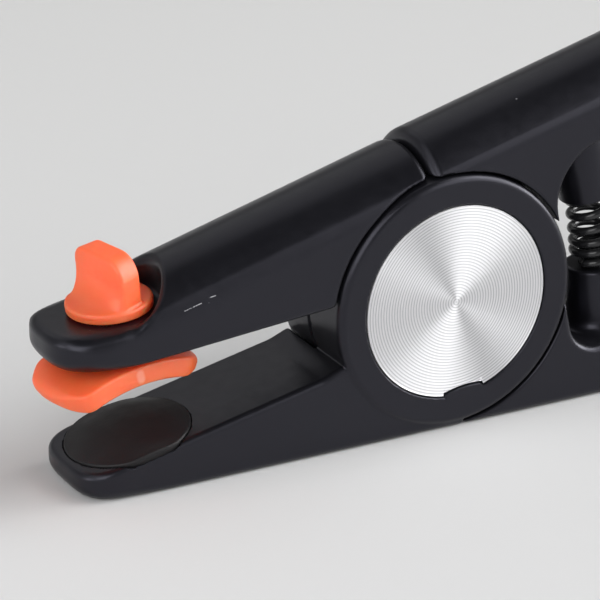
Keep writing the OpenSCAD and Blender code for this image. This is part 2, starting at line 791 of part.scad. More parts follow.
function tube_faces(n, m) = concat(
  [[for (k = [0 : m - 1]) k]],
  [for (i = [0 : n - 2]) for (k = [0 : m - 1])
    [i * m + k, (i + 1) * m + k, (i + 1) * m + (k + 1) % m]],
  [for (i = [0 : n - 2]) for (k = [0 : m - 1])
    [i * m + k, (i + 1) * m + (k + 1) % m, i * m + (k + 1) % m]],
  [[for (k = [m - 1 : -1 : 0]) (n - 1) * m + k]]);

module return_spring() {
  pts = [for (i = [0 : len(wire) - 1]) each ring_at(i)];
  color(rubber) place() polyhedron(points = pts, faces = tube_faces(len(wire), sides), convexity = 8);
}

// Least gap between one curl and the next, measured on points of the wire's middle line
curl_gap = min([for (i = [1 : len(wire) - 2]) for (j = [i + rings / 2 : len(wire) - 2])
  norm(wire[j] - wire[i])]) - wire_d;
echo(curl_gap = curl_gap);

lower_jaw();
upper_handle();
jaw_pad();
near_disc();
near_hub_screws();
pivot_bolt();
head_washer();
pivot_bush();
thrust_washer();
pivot_nut();
nut_washer();
spring_cup();
upper_jaw();
lower_handle();
far_disc();
far_hub_screws();
spring_guide();
swivel_sleeve();
friction_ring();
knob();
anvil();
anvil_screw();
return_spring();
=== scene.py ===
# %% [markdown]
# # Glass running pliers
# The tool has two black cast levers on a capped pivot, an orange swivel head and a rubber pad.
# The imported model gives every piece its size, its place and the body that it moves with.
# This lesson dresses that model. It works in millimetres from the pivot, because the real
# drawing would, and turns them into metres in the shared frame only when a mesh is made.

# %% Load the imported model
import bpy
import numpy as np
from mathutils import Matrix


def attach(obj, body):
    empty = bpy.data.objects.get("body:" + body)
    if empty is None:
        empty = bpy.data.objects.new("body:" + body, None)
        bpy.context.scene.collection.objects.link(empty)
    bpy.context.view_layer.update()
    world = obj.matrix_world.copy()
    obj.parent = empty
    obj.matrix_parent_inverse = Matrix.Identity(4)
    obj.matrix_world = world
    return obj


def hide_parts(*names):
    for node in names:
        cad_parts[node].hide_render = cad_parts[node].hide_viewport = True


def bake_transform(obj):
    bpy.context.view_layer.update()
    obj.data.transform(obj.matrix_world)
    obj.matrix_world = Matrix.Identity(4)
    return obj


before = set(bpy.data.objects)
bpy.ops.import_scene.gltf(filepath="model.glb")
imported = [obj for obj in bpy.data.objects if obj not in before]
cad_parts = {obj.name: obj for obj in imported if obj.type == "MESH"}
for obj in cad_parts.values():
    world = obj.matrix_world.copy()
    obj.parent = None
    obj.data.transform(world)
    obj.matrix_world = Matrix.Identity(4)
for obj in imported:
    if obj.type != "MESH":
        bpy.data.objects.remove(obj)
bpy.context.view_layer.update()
PIVOT = np.array([-32.75, 0.0, 27.0])
LEVER_A, LEVER_B, HEAD = "lower_jaw_lever", "upper_jaw_lever", "swivel_head"


def metres(points):
    """Millimetres from the pivot become metres in the shared frame."""
    return (np.asarray(points, float) + PIVOT) / 1000


# %% [markdown]
# ## The camera
# The near cover disc is a circle of known size, so its ellipse in the picture gives the camera:
# it stands 0.73 m away, turned 27.7 degrees towards the jaws and 23.3 degrees above level, with
# a long lens. The tool is also rolled 1.25 degrees in that view, which goes into the axes here.

# %% Camera
AZIMUTH, ELEVATION, ROLL, TOOL_ROLL = np.radians([-27.67, 23.31, -1.03, 1.25])
DISTANCE, SIDE_STEP, RISE_STEP = 728.0, 30.5, -0.42
right = np.array([np.cos(AZIMUTH), np.sin(AZIMUTH), 0])
ahead = np.array([-np.sin(AZIMUTH) * np.cos(ELEVATION),
                  np.cos(AZIMUTH) * np.cos(ELEVATION), -np.sin(ELEVATION)])
up = np.cross(right, ahead)
right, up = (np.cos(ROLL) * right + np.sin(ROLL) * up,
             np.cos(ROLL) * up - np.sin(ROLL) * right)
level = np.array([[np.cos(TOOL_ROLL), 0, -np.sin(TOOL_ROLL)], [0, 1, 0],
                  [np.sin(TOOL_ROLL), 0, np.cos(TOOL_ROLL)]])
spot = level @ -(SIDE_STEP * right + RISE_STEP * up + DISTANCE * ahead) + [0, -12.4, 0]
axes = level @ np.column_stack([right, up, -ahead])
camera = bpy.data.objects.new("camera", bpy.data.cameras.new("camera"))
bpy.context.scene.collection.objects.link(camera)
camera.matrix_world = Matrix([[*axes[i], metres(spot)[i]] for i in range(3)] + [[0, 0, 0, 1]])
camera.data.sensor_width, camera.data.lens = 36.0, 224.52
camera.data.clip_start, camera.data.clip_end = 0.05, 20
bpy.context.scene.camera = camera
bpy.context.scene.view_settings.view_transform = "Standard"
print("camera at", np.round(metres(spot), 3), "lens", camera.data.lens)

# %% [markdown]
# ## A finish is a small tree of nodes
# Each finish starts from the Principled shader. A short helper adds a node, sets its numbers
# and joins what feeds it, so that each recipe below reads as a list. All patterns read
# Object coordinates, which stay fixed to a piece, because every piece keeps its object at
# the origin.

# %% Helpers for the finishes


class Finish:
    """A material under construction: add() makes a node, sets its sockets and returns it."""

    def __init__(self, name, **shader):
        self.made = bpy.data.materials.new(name)
        self.made.use_nodes = True
        self.tree = self.made.node_tree
        self.shader = self.tree.nodes["Principled BSDF"]
        self.fill(self.shader, shader)
        self.place = self.add("ShaderNodeTexCoord").outputs["Object"]

    def fill(self, node, sockets):
        for name, value in sockets.items():
            socket = node.inputs[name.replace("_", " ")]
            if isinstance(value, bpy.types.NodeSocket):
                self.tree.links.new(value, socket)
            else:
                socket.default_value = value

    def add(self, kind, settings=(), **sockets):
        node = self.tree.nodes.new(kind)
        for name, value in dict(settings).items():
            setattr(node, name, value)
        self.fill(node, sockets)
        return node

    def noise(self, scale, detail=2.0, rough=0.5, vector=None):
        return self.add("ShaderNodeTexNoise", Vector=vector or self.place, Scale=scale,
                        Detail=detail, Roughness=rough).outputs["Fac"]

    def ramp(self, value, low, high, a, b):
        """A number that goes from a to b as value goes from low to high."""
        node = self.add("ShaderNodeMapRange", Value=value)
        for name, number in (("From Min", low), ("From Max", high), ("To Min", a), ("To Max", b)):
            node.inputs[name].default_value = number
        return node.outputs["Result"]

    def mix(self, share, a, b):
        """A colour that goes from a to b as share goes from 0 to 1."""
        node = self.add("ShaderNodeMix", {"data_type": "RGBA"})
        for index, value in ((0, share), (6, a), (7, b)):
            if isinstance(value, bpy.types.NodeSocket):
                self.tree.links.new(value, node.inputs[index])
            else:
                node.inputs[index].default_value = (*value, 1) if index else value
        return node.outputs[2]

    def maths(self, operation, a, b=0.0):
        node = self.add("ShaderNodeMath", {"operation": operation})
        for index, value in enumerate((a, b)):
            if isinstance(value, bpy.types.NodeSocket):
                self.tree.links.new(value, node.inputs[index])
            else:
                node.inputs[index].default_value = value
        return node.outputs[0]

    def vector(self, operation, a, b, output="Vector"):
        node = self.add("ShaderNodeVectorMath", {"operation": operation})
        for index, value in enumerate((a, b)):
            if isinstance(value, bpy.types.NodeSocket):
                self.tree.links.new(value, node.inputs[index])
            else:
                node.inputs[index].default_value = value
        return node.outputs[output]

    def scratch(self, start, end, width):
        """1 along the straight line between two places in metres, 0 beyond half the width."""
        start, run = np.array(start), np.array(end) - np.array(start)
        length = float(np.linalg.norm(run))
        away = self.vector("SUBTRACT", self.place, start)
        reach = self.vector("DOT_PRODUCT", away, run / length, "Value")
        reach = self.maths("MINIMUM", self.maths("MAXIMUM", reach, 0.0), length)
        foot = self.add("ShaderNodeCombineXYZ", X=reach, Y=reach, Z=reach).outputs[0]
        off = self.vector("DISTANCE", away, self.vector("MULTIPLY", foot, run / length), "Value")
        return self.ramp(off, width / 4, width / 2, 1, 0)

    def bump(self, height, distance, strength=1.0):
        node = self.add("ShaderNodeBump", Height=height, Distance=distance, Strength=strength)
        self.fill(self.shader, {"Normal": node.outputs["Normal"]})


# %% [markdown]
# ## Satin black coat
# The castings wear a satin black powder coat. It is nearly black with a cool cast, slightly
# uneven in gloss, and it carries a few pale specks of dust and, on the upper jaw's near side,
# the two short scratches that the picture shows. The fine orange-peel of a powder coat is a
# shallow noise bump.

# %% Satin black coat


SCRATCHES = (((-0.09128, -0.01155, 0.03629), (-0.08782, -0.01158, 0.0372)),
             ((-0.08611, -0.0115, 0.03798), (-0.08473, -0.01156, 0.03818)))


def satin_black(name, dust=1.0):
    coat = Finish(name, Specular_IOR_Level=0.36, IOR=1.5, Specular_Tint=(0.96, 0.95, 1.14, 1))
    cloud = coat.noise(55, 3)
    colour = coat.mix(cloud, (0.0048, 0.0048, 0.0062), (0.0068, 0.0068, 0.0086))
    speck = coat.add("ShaderNodeTexVoronoi", Vector=coat.place, Scale=150.0)
    chosen = coat.ramp(coat.noise(90, 0), 0.60, 0.66, 0, 1)
    dot = coat.maths("MULTIPLY", coat.ramp(speck.outputs["Distance"], 0.018, 0.035, dust, 0),
                     chosen)
    worn = coat.ramp(coat.noise(1900, 2), 0.44, 0.52, 0.15, 1)
    scratches = [coat.maths("MULTIPLY", coat.scratch(*ends, 0.00024), worn)
                 for ends in SCRATCHES]
    colour = coat.mix(dot, colour, (0.16, 0.16, 0.17))
    coat.fill(coat.shader, {
        "Base Color": coat.mix(coat.maths("MAXIMUM", *scratches), colour, (0.33, 0.33, 0.35)),
        "Roughness": coat.ramp(coat.noise(420, 3), 0.3, 0.7, 0.28, 0.34)})
    coat.bump(coat.noise(2600, 2), 0.00002, 0.6)
    return coat.made


body_black = satin_black("satin_black_coat")
print("finish:", body_black.name)

# %% [markdown]
# ## Orange plastic, rubber, and metal
# The knob and the anvil are moulded in a bright orange plastic that lets a little light in,
# and the anvil's near side has the small pale mark that the picture shows.
# The pad is black rubber with a dull, slightly brown sheen. The cover discs are bare spun
# aluminium: their rings are real geometry, and the finish adds the soft gloss and a painted shade on
# each ridge.

# %% Orange plastic


# The two ends of a short pale line painted on the anvil's near side.
PALE_LINE_ENDS = ((-0.09976, -0.00955, 0.02424), (-0.09944, -0.0095, 0.02322))


def orange_plastic():
    plastic = Finish("moulded_orange", Specular_IOR_Level=0.8, IOR=1.46,
                     Subsurface_Weight=0.8, Subsurface_Scale=0.0055,
                     Subsurface_Radius=(1.0, 0.10, 0.045))
    tone = plastic.mix(plastic.noise(120, 3), (0.98, 0.130, 0.034), (1.0, 0.162, 0.050))
    tone = plastic.mix(plastic.maths("MULTIPLY", plastic.scratch(*PALE_LINE_ENDS, 0.0022), 0.5), tone,
                       (1.0, 0.42, 0.32))
    plastic.fill(plastic.shader, {
        "Base Color": tone,
        "Roughness": plastic.ramp(plastic.noise(700, 2), 0.3, 0.7, 0.42, 0.52)})
    plastic.bump(plastic.noise(1500, 2), 0.00002, 0.5)
    return plastic.made


orange = orange_plastic()
print("finish:", orange.name)

# %% Rubber


def black_rubber():
    rubber = Finish("black_rubber", Specular_IOR_Level=0.26, IOR=1.5)
    tone = rubber.mix(rubber.noise(240, 4, 0.6), (0.0082, 0.0078, 0.0086), (0.0135, 0.0125, 0.0138))
    rubber.fill(rubber.shader, {
        "Base Color": tone,
        "Roughness": rubber.ramp(rubber.noise(160, 4), 0.3, 0.7, 0.42, 0.62)})
    rubber.bump(rubber.noise(1900, 3), 0.00003, 0.7)
    return rubber.made


rubber_black = black_rubber()
print("finish:", rubber_black.name)

# %% Metals and the thrust washer's plastic


def metal(name, dark, light, rough, metallic=1.0, grain=900):
    """A machined metal: two tones in fine streaks, and gloss that varies a little."""
    alloy = Finish(name, Metallic=metallic)
    streaks = alloy.add("ShaderNodeMapping", Vector=alloy.place)
    streaks.inputs["Scale"].default_value = (0.15, 1.0, 1.0)
    grains = alloy.noise(grain, 3, vector=streaks.outputs["Vector"])
    alloy.fill(alloy.shader, {
        "Base Color": alloy.mix(grains, dark, light),
        "Roughness": alloy.ramp(grains, 0.3, 0.7, rough, rough + 0.12)})
    alloy.bump(grains, 0.00001, 0.5)
    return alloy.made




def spun_aluminium():
    """Turned rings scatter light widely along the radius and little round the circle, so the
    tangent is the direction away from the pivot's axis. The ridges carry a painted shade."""
    alloy = Finish("spun_aluminium", Metallic=1.0, Roughness=0.5, Anisotropic=0.85)
    part = alloy.add("ShaderNodeSeparateXYZ", Vector=alloy.place)
    along = alloy.maths("SUBTRACT", part.outputs["X"], float(metres(np.zeros(3))[0]))
    up = alloy.maths("SUBTRACT", part.outputs["Z"], float(metres(np.zeros(3))[2]))
    away = alloy.add("ShaderNodeCombineXYZ", X=along, Z=up)
    radius = alloy.add("ShaderNodeVectorMath", {"operation": "LENGTH"}, Vector=away.outputs[0])
    step = alloy.maths("FRACT", alloy.maths("DIVIDE", radius.outputs["Value"], 0.0006))
    ridge = alloy.maths("ABSOLUTE", alloy.maths("SUBTRACT", step, 0.5))
    # Painted shade: the colour darkens from each ring's hollow towards its ridge.
    tone = alloy.ramp(ridge, 0.18, 0.5, 0, 1)
    alloy.fill(alloy.shader, {
        "Base Color": alloy.mix(tone, (0.94, 0.94, 0.955), (0.57, 0.57, 0.59)),
        "Tangent": away.outputs[0]})
    return alloy.made


spun = spun_aluminium()
steel = metal("bright_steel", (0.42, 0.42, 0.44), (0.62, 0.62, 0.64), 0.28)
bronze = metal("satin_bronze", (0.48, 0.32, 0.16), (0.66, 0.46, 0.25), 0.35)
washer_white = metal("white_washer_plastic", (0.70, 0.70, 0.66), (0.80, 0.80, 0.76), 0.5, 0.0)
spring_black = metal("black_spring_wire", (0.010, 0.010, 0.011), (0.020, 0.020, 0.021), 0.16, 0.0)
print("finishes:", [m.name for m in (spun, steel, bronze, washer_white, spring_black)])

# %% [markdown]
# ## Solids that are formulas
# A casting is thick and thin at once, with rounded edges, fillets, arcs and pockets that no
# one profile carried along a path gives. So each is written as a field: a formula that is
# negative inside the metal, zero on its skin and positive outside. Where two surfaces bound
# the metal the larger value counts, and where two bodies join the smaller one does. A small
# circle laid into that corner rounds the edge or fills the fillet, as a foundry pattern has.

# %% Joining fields


def both(a, b, radius=0.0):
    """Metal only where both have it: the larger value, with an edge of that radius."""
    return (np.minimum(np.maximum(a, b), -radius)
            + np.hypot(np.maximum(a + radius, 0), np.maximum(b + radius, 0)))


def either(a, b, radius=0.0):
    """Metal where one of them has it: the smaller value, with a fillet of that radius."""
    return (np.maximum(np.minimum(a, b), radius)
            - np.hypot(np.maximum(radius - a, 0), np.maximum(radius - b, 0)))


def without(a, hole, radius=0.0):
    """Metal a with a hole cut out: both a and the outside of the hole."""
    return both(a, -hole, radius)


def smooth(t):
    """0 to 1 with level ends: 3 t squared less 2 t cubed."""
    t = np.clip(t, 0, 1)
    return t * t * (3 - 2 * t)


# %% [markdown]
# ## From a field to a mesh
# The field is worked out on a grid of points as one array. Each grid cell that has corners
# both inside and outside gets one point, and each grid edge that crosses the skin gets one
# face between the four cells round it. The points then slide down the field's slope onto the
# exact skin, and that slope is also the true normal, which keeps edges crisp and flats flat.

# %% Skin of a field
CORNERS = np.array([[i, j, k] for i in (0, 1) for j in (0, 1) for k in (0, 1)])
CELL_EDGES = np.array([(a, b) for a in range(8) for b in range(a + 1, 8)
                       if abs(CORNERS[a] - CORNERS[b]).sum() == 1])


def slope(field, points, step=0.02):
    """The field's gradient by central differences, one column for each axis."""
    moves = np.eye(3) * step
    return np.column_stack([(field(*(points + m).T) - field(*(points - m).T)) / (2 * step)
                            for m in moves])


def settle(field, points, reach, rounds=3):
    """Newton's step, value times slope over slope squared, moves points onto the skin."""
    for _ in range(rounds):
        grad = slope(field, points)
        move = grad * (field(*points.T) / np.maximum((grad ** 2).sum(1), 1e-6))[:, None]
        size = np.linalg.norm(move, axis=1, keepdims=True)
        points = points - move * np.minimum(1, reach / np.maximum(size, 1e-9))
    return points


def even_out(points, faces):
    """Each point moves half way to the mean of the points that it shares an edge with."""
    ends = np.concatenate([faces[:, [i, (i + 1) % 4]] for i in range(4)])
    near = np.bincount(ends[:, 0], minlength=len(points)) + np.bincount(
        ends[:, 1], minlength=len(points))
    total = np.column_stack([
        np.bincount(ends[:, 0], points[ends[:, 1], k], len(points))
        + np.bincount(ends[:, 1], points[ends[:, 0], k], len(points)) for k in range(3)])
    return 0.5 * points + 0.5 * total / near[:, None]


def skin(field, low, high, cell):
    """Points, four-sided faces and normals of the skin of a field inside a box."""
    ticks = [np.arange(a - cell, b + 2 * cell, cell) for a, b in zip(low, high)]
    value = field(*np.meshgrid(*ticks, indexing="ij", sparse=True))
    inside = value < 0
    last = np.array(inside.shape) - 1
    count = sum(inside[i:last[0] + i, j:last[1] + j, k:last[2] + k].astype(np.int8)
                for i, j, k in CORNERS)
    cells = np.argwhere((count > 0) & (count < 8))
    number = np.full(count.shape, -1)
    number[tuple(cells.T)] = np.arange(len(cells))
    corner = value[tuple((cells[:, None] + CORNERS).transpose(2, 0, 1))]
    a, b = corner[:, CELL_EDGES[:, 0]], corner[:, CELL_EDGES[:, 1]]
    crossed = (a < 0) != (b < 0)
    share = np.where(crossed, a / np.where(crossed, a - b, 1), 0)[..., None]
    hits = CORNERS[CELL_EDGES[:, 0]] * (1 - share) + CORNERS[CELL_EDGES[:, 1]] * share
    middle = (hits * crossed[..., None]).sum(1) / crossed.sum(1, keepdims=True)
    points = np.array([t[0] for t in ticks]) + cell * (cells + middle)
    faces = []
    for axis in range(3):
        one, two = np.eye(3, dtype=int)[[(axis + 1) % 3, (axis + 2) % 3]]
        here, there = (np.delete(np.moveaxis(inside, axis, 0), end, 0) for end in (-1, 0))
        edges = np.argwhere(np.moveaxis(here != there, 0, axis))
        ring = np.stack([number[tuple((edges - back).T)] for back in (0 * one, one, one + two, two)], 1)
        outward = inside[tuple(edges.T)]
        faces.append(np.where(outward[:, None], ring, ring[:, ::-1]))
    faces = np.concatenate(faces)
    points = settle(field, points, cell)
    for _ in range(3):
        points = settle(field, even_out(points, faces), cell / 2)
    normals = slope(field, points)
    return points, faces, normals / np.linalg.norm(normals, axis=1, keepdims=True)


# %% Making a piece


def new_piece(name, shape, finish, body, stands_for):
    """Puts points in millimetres and faces into a mesh and ties the piece to its body. A
    field's skin brings its own normals; a grid's are left to the mesh."""
    points, faces, *normals = shape
    mesh = bpy.data.meshes.new(name)
    mesh.from_pydata(metres(points).tolist(), [], [list(map(int, f)) for f in faces])
    mesh.polygons.foreach_set("use_smooth", np.ones(len(mesh.polygons), bool))
    mesh.materials.append(finish)
    mesh.update()
    if normals:
        mesh.normals_split_custom_set_from_vertices(normals[0].tolist())
    made = bpy.data.objects.new(name, mesh)
    bpy.context.scene.collection.objects.link(made)
    if body:
        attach(made, body)
    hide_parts(*stands_for)
    print(name, len(points), "points", sum(len(f) - 2 for f in faces), "triangles")
    return made


# %% [markdown]
# ## What both bosses share
# Each lever ends in a thick round boss. Its outer face has a shallow recess for the cover
# disc, with a small tab that keys the disc at the bottom. Inside are the seats for the pivot
# bolt's head and nut, the hub pocket for the other casting, and three screws.

# %% Bosses
HALF_WIDTH, FACE, SPLIT = 11.9, 12.5, 0.15
BOSS_R, ARC_R, DISC_R = 26.0, 26.4, 20.0
FLOOR_DEPTH = 11.1
KEY_ANGLE, KEY_HALF, KEY_RADIUS = np.radians(-84.1), 4.25, 18.6


def key_frame(x, z):
    """Distance across and distance outwards in the direction of the key."""
    return (-x * np.sin(KEY_ANGLE) + z * np.cos(KEY_ANGLE),
            x * np.cos(KEY_ANGLE) + z * np.sin(KEY_ANGLE))


def key_edge(across):
    """The inner edge of the key bows 0.45 mm towards the centre in its middle."""
    return KEY_RADIUS - 0.45 * (1 - np.minimum(abs(across) / KEY_HALF, 1) ** 2)


def wedge(x, z, first, last):
    """The sector between two angles, where a handle's neck enters the boss."""
    a, b = np.radians([first, last])
    return np.maximum(x * np.sin(a) - z * np.cos(a), z * np.cos(b) - x * np.sin(b))


def screw_distance(x, z):
    """Distance to the nearest of the three hub screws, which stand on a 13 mm circle."""
    turns = np.radians([30, 150, 270])
    return np.minimum.reduce([np.hypot(x - 13 * np.cos(t), z + 13 * np.sin(t)) for t in turns])


def boss(x, depth, z):
    """A round boss: depth is the distance from the middle plane towards its own face."""
    return both(np.hypot(x, z) - BOSS_R, depth - FACE, 1.6)


def bore_boss(metal_field, x, depth, z, neck):
    """Cuts the recess, the hub pocket and the holes into a boss."""
    rho = np.hypot(x, z)
    across, out = key_frame(x, z)
    key = np.maximum(abs(across) - KEY_HALF, key_edge(across) + 0.25 - out)
    recess = np.maximum(without(np.maximum(rho - DISC_R, FLOOR_DEPTH - depth), key), 0 * depth - 99)
    pocket = np.maximum(np.minimum(rho - 18.7, wedge(x, z, *neck) - 0.2), depth - 5.0)
    screw = screw_distance(x, z)
    holes = np.minimum.reduce([
        np.maximum(rho - 7.2, 7.3 - depth), rho - 4.05 + 0 * depth, screw - 2.05 + 0 * depth,
        np.maximum(screw - 3.7, 8.4 - depth)])
    metal_field = without(metal_field, recess, 0.25)
    return without(metal_field, np.minimum(pocket, np.maximum(holes, rho - DISC_R)))


# %% [markdown]
# ## The jaws
# Seen from above a jaw has straight sides and a nose shaped like a superellipse. Seen from
# the side it is a wedge. The lower jaw's upper face and both undersides are flat, and the
# upper jaw's back is part of a cylinder that meets its sides at a soft crease.

# %% Jaw outlines
UPPER_NOSE, LOWER_NOSE = (83.4, 13.7, 2.8), (79.3, 10.5, 3.4)
LOWER_SLOPE = np.arctan((3.6 - 13.9 + 27 - 4.6) / (81.5 - BOSS_R))
UPPER_SLOPE = np.radians(5)
CREASE_SLOPE = np.radians(16.2)


def lower_top(x):
    return 3.6 - 13.9 + (x + BOSS_R) * np.tan(LOWER_SLOPE)


def upper_low(x):
    return 3.6 + (x + BOSS_R) * np.tan(UPPER_SLOPE)


def jaw_plan(x, y, reach, length, power):
    """A straight bar whose nose is a superellipse of the given length and power."""
    nose = np.maximum(0, length - reach - x) / length
    return ((nose ** power + (abs(y) / HALF_WIDTH) ** power) ** (1 / power) - 1) * HALF_WIDTH


def under_radius(x, reach, plain, nose):
    """The underside's edge grows from a plain radius to a larger one under the nose."""
    return plain + (nose - plain) * smooth((18 - reach - x) / 14)


def crowned(y, height, rise):
    """A back that is part of a cylinder: rise is its height above the crease at the sides."""
    radius = (HALF_WIDTH ** 2 + rise ** 2) / (2 * rise)
    return np.hypot(y, np.maximum(height + radius - rise, 0)) - radius


# %% Lower jaw
PAD_REACH, PAD_SEAT = 65.4, 0.8


def pad_frame(x, z):
    """Distance along the lower jaw's face from the pad's middle, and height above the face."""
    dx, dz = x + PAD_REACH, z - lower_top(-PAD_REACH)
    return (dx * np.cos(LOWER_SLOPE) + dz * np.sin(LOWER_SLOPE),
            dz * np.cos(LOWER_SLOPE) - dx * np.sin(LOWER_SLOPE))


def lower_jaw_field(x, y, z):
    """The jaw's wedge joined to the near boss, less the far boss's room and the pad's seat."""
    top = (z - lower_top(x) - 0.7 * smooth((x + 29.4) / 5.0)) * np.cos(LOWER_SLOPE)
    jaw = both(jaw_plan(x, y, *LOWER_NOSE), top, 1.2)
    jaw = both(jaw, -PIVOT[2] - z, under_radius(x, LOWER_NOSE[0], 1.6, 2.5))
    jaw = both(jaw, x - 2.6, 0.6)
    body = either(jaw, both(boss(x, -y, z), y - 6), 0.3)
    body = both(body, np.minimum(ARC_R - np.hypot(x, z), y + SPLIT), 0.2)
    along, height = pad_frame(x, z)
    radial = np.hypot(along, y)
    body = without(body, np.minimum(np.maximum(radial - 12.52, -PAD_SEAT - height),
                                    np.maximum(radial - 4.02, -4.2 - height)), 0.15)
    return bore_boss(body, x, -y, z, (45, 90))


CAST_CELL = 0.45
lower_jaw = new_piece(
    "lower_jaw_casting", skin(lower_jaw_field, (-82, -13, -27.5), (26.5, 12.5, 26.5), CAST_CELL),
    body_black, LEVER_A, ["lower_jaw"])

# %% Upper jaw
KNOB_REACH = 68.6
TIP_TOP = upper_low(-KNOB_REACH) + 7.6


def tip_frame(x, z):
    """Distance behind the knob's axis, and height above the flat that its flange sits on."""
    dx, dz = x + KNOB_REACH, z - TIP_TOP
    return (dx * np.cos(UPPER_SLOPE) + dz * np.sin(UPPER_SLOPE),
            dz * np.cos(UPPER_SLOPE) - dx * np.sin(UPPER_SLOPE))


def upper_jaw_field(x, y, z):
    """The crowned wedge joined to the far boss, less the near boss's room and the thumb pocket."""
    rise = 4.8 + 1.0 * np.clip((-5 - x) / 55, 0, 1)
    height = (z - 19.3 - (x + BOSS_R) * np.tan(CREASE_SLOPE)) * np.cos(CREASE_SLOPE)
    along, above = tip_frame(x, z)
    radial = np.hypot(along, y)
    jaw = both(jaw_plan(x, y, *UPPER_NOSE), crowned(y, height, rise), 1.6)
    jaw = both(jaw, (upper_low(x) - z) * np.cos(UPPER_SLOPE),
               under_radius(x, UPPER_NOSE[0], 1.0, 3.8))
    pocket = either(above, both(10.2 - radial, -along, 3.0), 1.3)
    rim = np.maximum(0.8 * smooth(-along / 5), 1.1 * smooth((abs(y) - 4) / 6))
    jaw = both(jaw, pocket, 0.9 + rim + 0.9 * smooth((y + 4) / 9) * smooth((along + 1) / 4))
    jaw = both(jaw, x + 5.25, 1.8)
    body = either(jaw, both(boss(x, y, z), -6 - y), 0.6)
    body = both(body, np.minimum(ARC_R - np.hypot(x, z), SPLIT - y), 0.9)
    body = without(body, np.minimum(radial - 5.02 + 0 * above,
                                    np.maximum(radial - 7.25, -0.6 - above)), 0.2)
    return bore_boss(body, x, y, z, (-66, -32))


upper_jaw = new_piece(
    "upper_jaw_casting", skin(upper_jaw_field, (-85, -12.5, -26.5), (26.5, 13, 33), CAST_CELL),
    body_black, LEVER_B, ["upper_jaw"])

# %% [markdown]
# ## The handles
# Each handle is a separate casting with a flat hub plate inside the boss. The upper one rises
# at 14.85 degrees with a crowned back. Both leave a rounded space for the return spring right
# behind the bosses, swell towards the middle of the grip and then bend inwards.

# %% Handle outlines
HANDLE_END, BEND_START, BEND_R, NECK_START = 150.0, 62.0, 500.0, 32.2


def bend(u):
    """How far the handle has bent inwards at distance u: the drop of an arc of 500 mm."""
    past = np.maximum(u - BEND_START, 0)
    return BEND_R - np.sqrt(BEND_R ** 2 - past ** 2)


def swell(u, end):
    """The grip's extra thickness: 5.6 mm times a sine squared from the neck to the end."""
    return 5.6 * np.sin(np.pi * np.clip((u - NECK_START) / (end + 12 - NECK_START), 0, 1)) ** 2


def handle_plan(u, y, end):
    """Straight sides that draw in by 1.4 mm and end in a superellipse of power 2.6."""
    width = HALF_WIDTH - 1.4 * smooth((u - 90) / 47)
    tail = np.maximum(0, u - end + 14) / 14
    return ((tail ** 2.6 + (abs(y) / width) ** 2.6) ** (1 / 2.6) - 1) * width


def hub_plate(x, depth, z, neck):
    """The flat plate inside the boss, with its neck, bush hole, washer recess and screw holes."""
    rho = np.hypot(x, z)
    outline = np.minimum(rho - 18.5, np.maximum(wedge(x, z, *neck), rho - 27.6))
    plate = np.maximum(outline, np.maximum(SPLIT + 0.05 - depth, depth - 4.95))
    holes = np.minimum.reduce([rho - 5.55 + 0 * depth, screw_distance(x, z) - 2.05 + 0 * depth,
                               np.maximum(rho - 14.2, depth - 0.6)])
    return without(plate, holes)


# %% Upper handle
HANDLE_SLOPE = np.radians(14.85)
UPPER_END = (HANDLE_END - 4) / np.cos(HANDLE_SLOPE)
CUP_X, CUP_Z = 37.2, 12.3


def handle_frame(x, z):
    """Distance along the upper handle's crease, and height above it."""
    return (x * np.cos(HANDLE_SLOPE) + (z - 26.8) * np.sin(HANDLE_SLOPE),
            (z - 26.8) * np.cos(HANDLE_SLOPE) - x * np.sin(HANDLE_SLOPE))


def cup_frame(x, z):
    """Distance in front of the cup's axis, and height above its mouth."""
    dx, dz = x - CUP_X, z - CUP_Z
    return (dx * np.cos(HANDLE_SLOPE) + dz * np.sin(HANDLE_SLOPE),
            dz * np.cos(HANDLE_SLOPE) - dx * np.sin(HANDLE_SLOPE))


def upper_handle_field(x, y, z):
    """The crowned bar, less the open space under it, the bosses' room and the cup's socket."""
    u, v = handle_frame(x, z)
    height = v + bend(u)
    late = smooth((u - UPPER_END + 26) / 24)
    bar = both(handle_plan(u, y, UPPER_END),
               crowned(y, height, 6.0 + 0.5 * np.clip(u / 60, 0, 1)), 0.9 + 5.6 * late)
    lip = 23.2 + 0.32 * np.logaddexp(0, (14 - z) / 0.8) * 0.8
    space = both(lip - x, height + 7.6 + swell(u, UPPER_END), 8.5)
    bar = without(bar, space, 0.8 + 2.2 * smooth((u - 45) / 30) + 3.5 * late)
    bar = both(bar, 7.0 - z, 0.3)
    bar = both(bar, -4.75 - x, 1.8)
    bar = both(bar, ARC_R - np.hypot(x, z), 0.5)
    body = np.minimum(bar, hub_plate(x, -y, z, (45, 90)))
    along, above = cup_frame(x, z)
    return without(body, np.maximum(np.hypot(along, y) - 6.03, above - 18.4), 0.2)


upper_handle = new_piece(
    "upper_handle_casting",
    skin(upper_handle_field, (-19, -12.5, -19), (154, 12.5, 67), 0.48),
    body_black, LEVER_A, ["upper_handle"])

# %% Lower handle
POST_R, POST_TOP, POST_LEAN = 6.0, -3.2, np.radians(3)
CUP_DEEP = 5.0
POST_X = (CUP_X - CUP_DEEP * np.sin(HANDLE_SLOPE)
          + (CUP_Z + CUP_DEEP * np.cos(HANDLE_SLOPE) - POST_TOP)
          * np.tan((POST_LEAN + HANDLE_SLOPE) / 2))


def post_frame(x, z):
    """Distance in front of the lower post's axis, and height above its top."""
    dx, dz = x - POST_X, z - POST_TOP
    return (dx * np.cos(POST_LEAN) + dz * np.sin(POST_LEAN),
            dz * np.cos(POST_LEAN) - dx * np.sin(POST_LEAN))


